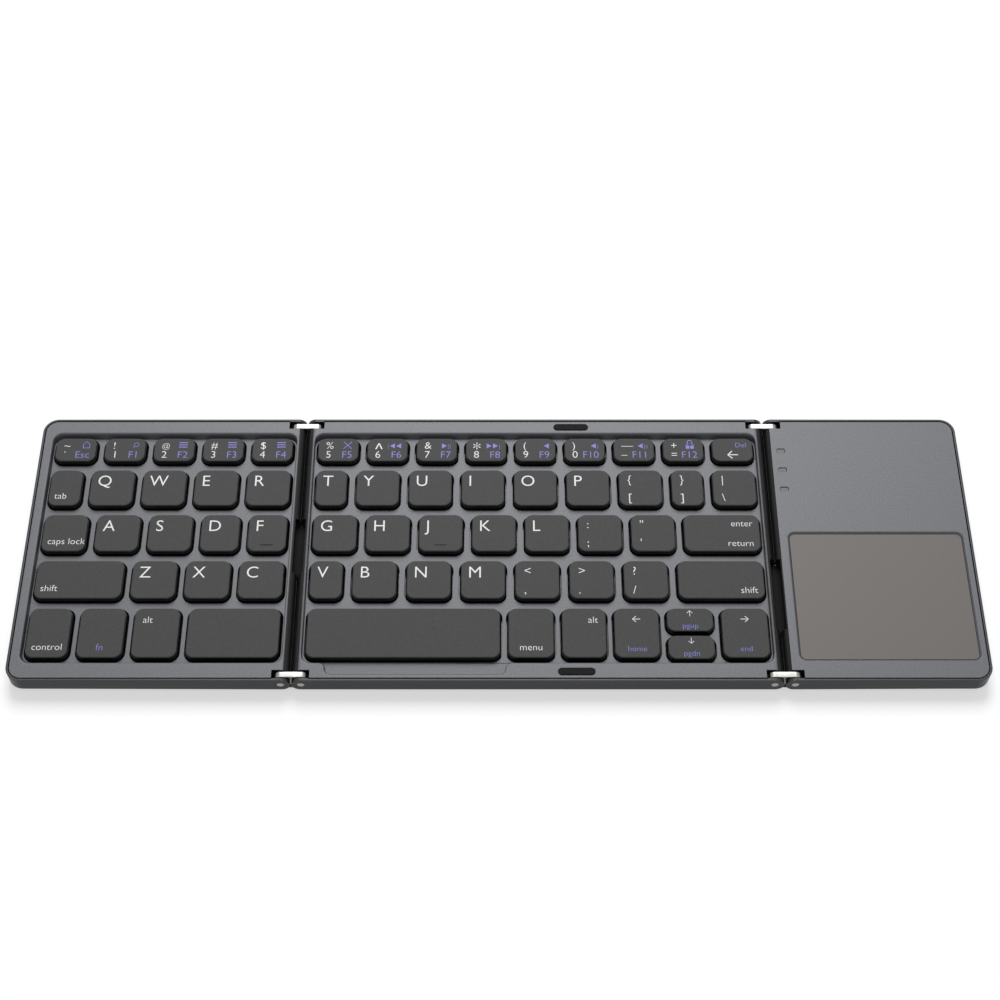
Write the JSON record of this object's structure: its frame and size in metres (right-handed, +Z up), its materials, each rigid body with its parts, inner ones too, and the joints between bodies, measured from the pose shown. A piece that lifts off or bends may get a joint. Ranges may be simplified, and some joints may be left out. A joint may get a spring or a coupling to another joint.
{
  "type": "folding keyboard",
  "caption": "Slim wireless keyboard in hinged panels; the side panels, one with a touchpad, fold flat over the middle keys on double-pin link hinges, and the keys travel",
  "frame": {"origin": "under the middle of the unfolded keyboard, on the surface that its feet stand on", "axes": "+X right along the length, +Y to the back edge, +Z up out of the keys"},
  "size_m": [0.305, 0.098, 0.0068],
  "materials": {
    "top_shell": "moulded ABS with a fine metallic grey lacquer",
    "bottom_shell": "bead-blasted and anodised dark grey",
    "keycap": "moulded ABS, fine matt texture",
    "black_rubber": "matt black rubber",
    "steel": "turned steel",
    "link_metal": "polished and plated",
    "board": "solder-masked circuit board",
    "dome_rubber": "moulded silicone rubber",
    "scissor_plastic": "moulded acetal",
    "touchpad_face": "smooth matt film",
    "lens": "clear moulded windows",
    "battery_foil": "foil pouch",
    "cable_film": "black flexible circuit film"
  },
  "bodies": {
    "centre_panel": {"centre_top_frame": "top_shell", "centre_bottom_cover": "bottom_shell", "centre_key_board": "board", "centre_rubber_domes": "dome_rubber", "centre_scissor_supports": "scissor_plastic", "centre_feet": "black_rubber", "centre_screws": "steel", "centre_hinge_pins": "steel", "bumper_pads": "black_rubber"},
    "left_links": {"left_hinge_links": "link_metal", "left_cable_sleeve": "black_rubber", "left_flat_cable": "cable_film"},
    "left_panel": {"left_top_frame": "top_shell", "left_bottom_cover": "bottom_shell", "left_key_board": "board", "left_rubber_domes": "dome_rubber", "left_scissor_supports": "scissor_plastic", "left_feet": "black_rubber", "left_screws": "steel", "left_hinge_pins": "steel"},
    "right_links": {"right_hinge_links": "link_metal", "right_cable_sleeve": "black_rubber", "right_flat_cable": "cable_film"},
    "right_panel": {"right_top_cover": "top_shell", "right_bottom_cover": "bottom_shell", "touchpad_surface": "touchpad_face", "touchpad_board": "board", "main_board": "board", "indicator_lenses": "lens", "battery": "battery_foil", "charging_socket": "steel", "right_feet": "black_rubber", "right_screws": "steel", "right_hinge_pins": "steel"},
    "key_control_body": {"key_control": "keycap"},
    "key_function_body": {"key_function": "keycap"},
    "key_left_alt_body": {"key_left_alt": "keycap"},
    "key_left_space_body": {"key_left_space": "keycap"},
    "key_left_shift_body": {"key_left_shift": "keycap"},
    "keys_z_to_c_body": {"keys_z_to_c": "keycap"},
    "key_caps_lock_body": {"key_caps_lock": "keycap"},
    "keys_a_to_f_body": {"keys_a_to_f": "keycap"},
    "key_tab_body": {"key_tab": "keycap"},
    "keys_q_to_r_body": {"keys_q_to_r": "keycap"},
    "keys_escape_to_4_body": {"keys_escape_to_4": "keycap"},
    "key_space_bar_body": {"key_space_bar": "keycap"},
    "key_menu_body": {"key_menu": "keycap"},
    "key_right_alt_body": {"key_right_alt": "keycap"},
    "key_arrow_left_body": {"key_arrow_left": "keycap"},
    "key_arrow_up_body": {"key_arrow_up": "keycap"},
    "key_arrow_down_body": {"key_arrow_down": "keycap"},
    "key_arrow_right_body": {"key_arrow_right": "keycap"},
    "keys_v_to_slash_body": {"keys_v_to_slash": "keycap"},
    "key_right_shift_body": {"key_right_shift": "keycap"},
    "keys_g_to_quote_body": {"keys_g_to_quote": "keycap"},
    "key_enter_body": {"key_enter": "keycap"},
    "keys_t_to_backslash_body": {"keys_t_to_backslash": "keycap"},
    "keys_5_to_equals_body": {"keys_5_to_equals": "keycap"},
    "key_backspace_body": {"key_backspace": "keycap"}
  },
  "joints": [
    {"name": "left_link_fold", "type": "hinge", "parent": "centre_panel", "child": "left_links", "pos_m": [-0.06125, 0, 0.00355], "axis": [0, 1, 0], "range_deg": [0, 90], "deforming": ["left_cable_sleeve", "left_flat_cable"]},
    {"name": "left_panel_fold", "type": "hinge", "parent": "left_links", "child": "left_panel", "pos_m": [-0.06755, 0, 0.00355], "axis": [0, 1, 0], "range_deg": [0, 90]},
    {"name": "right_link_fold", "type": "hinge", "parent": "centre_panel", "child": "right_links", "pos_m": [0.08525, 0, 0.00355], "axis": [0, -1, 0], "range_deg": [0, 90], "deforming": ["right_cable_sleeve", "right_flat_cable"]},
    {"name": "right_panel_fold", "type": "hinge", "parent": "right_links", "child": "right_panel", "pos_m": [0.09155, 0, 0.00355], "axis": [0, -1, 0], "range_deg": [0, 90]},
    {"name": "press_control", "type": "slide", "parent": "left_panel", "child": "key_control_body", "axis": [0, 0, -1], "range_m": [0, 0.0012], "stiffness_N_per_m": 300, "springref_m": -0.0008},
    {"name": "press_function", "type": "slide", "parent": "left_panel", "child": "key_function_body", "axis": [0, 0, -1], "range_m": [0, 0.0012], "stiffness_N_per_m": 300, "springref_m": -0.0008},
    {"name": "press_left_alt", "type": "slide", "parent": "left_panel", "child": "key_left_alt_body", "axis": [0, 0, -1], "range_m": [0, 0.0012], "stiffness_N_per_m": 300, "springref_m": -0.0008},
    {"name": "press_left_space", "type": "slide", "parent": "left_panel", "child": "key_left_space_body", "axis": [0, 0, -1], "range_m": [0, 0.0012], "stiffness_N_per_m": 300, "springref_m": -0.0008},
    {"name": "press_left_shift", "type": "slide", "parent": "left_panel", "child": "key_left_shift_body", "axis": [0, 0, -1], "range_m": [0, 0.0012], "stiffness_N_per_m": 300, "springref_m": -0.0008},
    {"name": "press_z_to_c", "type": "slide", "parent": "left_panel", "child": "keys_z_to_c_body", "axis": [0, 0, -1], "range_m": [0, 0.0012], "stiffness_N_per_m": 900, "springref_m": -0.0008},
    {"name": "press_caps_lock", "type": "slide", "parent": "left_panel", "child": "key_caps_lock_body", "axis": [0, 0, -1], "range_m": [0, 0.0012], "stiffness_N_per_m": 300, "springref_m": -0.0008},
    {"name": "press_a_to_f", "type": "slide", "parent": "left_panel", "child": "keys_a_to_f_body", "axis": [0, 0, -1], "range_m": [0, 0.0012], "stiffness_N_per_m": 1200, "springref_m": -0.0008, "deforming": ["left_rubber_domes", "left_scissor_supports"]},
    {"name": "press_tab", "type": "slide", "parent": "left_panel", "child": "key_tab_body", "axis": [0, 0, -1], "range_m": [0, 0.0012], "stiffness_N_per_m": 300, "springref_m": -0.0008},
    {"name": "press_q_to_r", "type": "slide", "parent": "left_panel", "child": "keys_q_to_r_body", "axis": [0, 0, -1], "range_m": [0, 0.0012], "stiffness_N_per_m": 1200, "springref_m": -0.0008},
    {"name": "press_escape_to_4", "type": "slide", "parent": "left_panel", "child": "keys_escape_to_4_body", "axis": [0, 0, -1], "range_m": [0, 0.0012], "stiffness_N_per_m": 1500, "springref_m": -0.0008},
    {"name": "press_space_bar", "type": "slide", "parent": "centre_panel", "child": "key_space_bar_body", "axis": [0, 0, -1], "range_m": [0, 0.0012], "stiffness_N_per_m": 300, "springref_m": -0.0008},
    {"name": "press_menu", "type": "slide", "parent": "centre_panel", "child": "key_menu_body", "axis": [0, 0, -1], "range_m": [0, 0.0012], "stiffness_N_per_m": 300, "springref_m": -0.0008},
    {"name": "press_right_alt", "type": "slide", "parent": "centre_panel", "child": "key_right_alt_body", "axis": [0, 0, -1], "range_m": [0, 0.0012], "stiffness_N_per_m": 300, "springref_m": -0.0008},
    {"name": "press_arrow_left", "type": "slide", "parent": "centre_panel", "child": "key_arrow_left_body", "axis": [0, 0, -1], "range_m": [0, 0.0012], "stiffness_N_per_m": 300, "springref_m": -0.0008},
    {"name": "press_arrow_up", "type": "slide", "parent": "centre_panel", "child": "key_arrow_up_body", "axis": [0, 0, -1], "range_m": [0, 0.0012], "stiffness_N_per_m": 300, "springref_m": -0.0008},
    {"name": "press_arrow_down", "type": "slide", "parent": "centre_panel", "child": "key_arrow_down_body", "axis": [0, 0, -1], "range_m": [0, 0.0012], "stiffness_N_per_m": 300, "springref_m": -0.0008},
    {"name": "press_arrow_right", "type": "slide", "parent": "centre_panel", "child": "key_arrow_right_body", "axis": [0, 0, -1], "range_m": [0, 0.0012], "stiffness_N_per_m": 300, "springref_m": -0.0008},
    {"name": "press_v_to_slash", "type": "slide", "parent": "centre_panel", "child": "keys_v_to_slash_body", "axis": [0, 0, -1], "range_m": [0, 0.0012], "stiffness_N_per_m": 2100, "springref_m": -0.0008},
    {"name": "press_right_shift", "type": "slide", "parent": "centre_panel", "child": "key_right_shift_body", "axis": [0, 0, -1], "range_m": [0, 0.0012], "stiffness_N_per_m": 300, "springref_m": -0.0008},
    {"name": "press_g_to_quote", "type": "slide", "parent": "centre_panel", "child": "keys_g_to_quote_body", "axis": [0, 0, -1], "range_m": [0, 0.0012], "stiffness_N_per_m": 2100, "springref_m": -0.0008, "deforming": ["centre_rubber_domes", "centre_scissor_supports"]},
    {"name": "press_enter", "type": "slide", "parent": "centre_panel", "child": "key_enter_body", "axis": [0, 0, -1], "range_m": [0, 0.0012], "stiffness_N_per_m": 300, "springref_m": -0.0008},
    {"name": "press_t_to_backslash", "type": "slide", "parent": "centre_panel", "child": "keys_t_to_backslash_body", "axis": [0, 0, -1], "range_m": [0, 0.0012], "stiffness_N_per_m": 2700, "springref_m": -0.0008},
    {"name": "press_5_to_equals", "type": "slide", "parent": "centre_panel", "child": "keys_5_to_equals_body", "axis": [0, 0, -1], "range_m": [0, 0.0012], "stiffness_N_per_m": 2400, "springref_m": -0.0008},
    {"name": "press_backspace", "type": "slide", "parent": "centre_panel", "child": "key_backspace_body", "axis": [0, 0, -1], "range_m": [0, 0.0012], "stiffness_N_per_m": 300, "springref_m": -0.0008}
  ]
}
